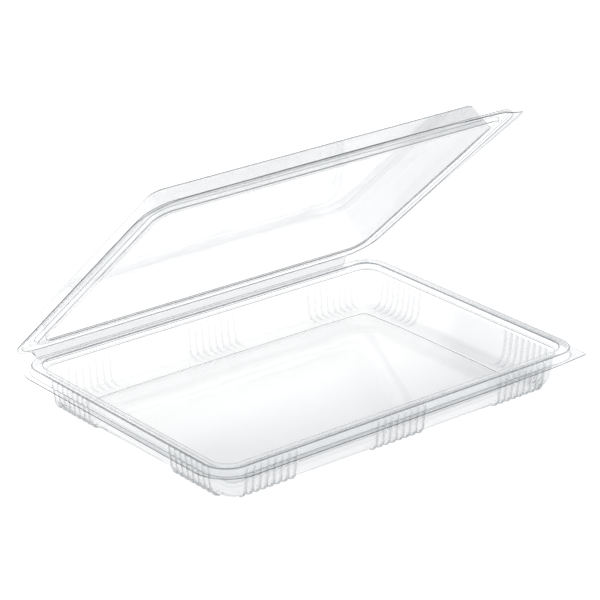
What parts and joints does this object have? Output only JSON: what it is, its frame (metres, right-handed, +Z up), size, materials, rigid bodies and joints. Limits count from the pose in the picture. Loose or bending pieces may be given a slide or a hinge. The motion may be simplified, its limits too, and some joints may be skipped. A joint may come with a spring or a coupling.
{
  "type": "hinged baklava container",
  "caption": "Empty clear plastic pastry box: a shallow fluted tray and a domed lid on a rear hinge, standing open.",
  "frame": {"origin": "on the table, in the middle of the container's bounding box with its lid open as modelled", "axes": "+X along the long side, +Y towards the hinge, +Z up"},
  "size_m": [0.2795, 0.2074, 0.1648],
  "materials": {
    "tray_sheet": "clear, glossy thermoformed sheet",
    "lid_sheet": "clear, glossy thermoformed sheet"
  },
  "bodies": {
    "tray": {"tray": "tray_sheet"},
    "lid": {"lid": "lid_sheet"}
  },
  "joints": [
    {"name": "lid_hinge", "type": "hinge", "parent": "tray", "child": "lid", "pos_m": [0, 0.10079, 0.0204], "axis": [-1, 0, 0], "range_deg": [-43.3, 131.7]}
  ]
}
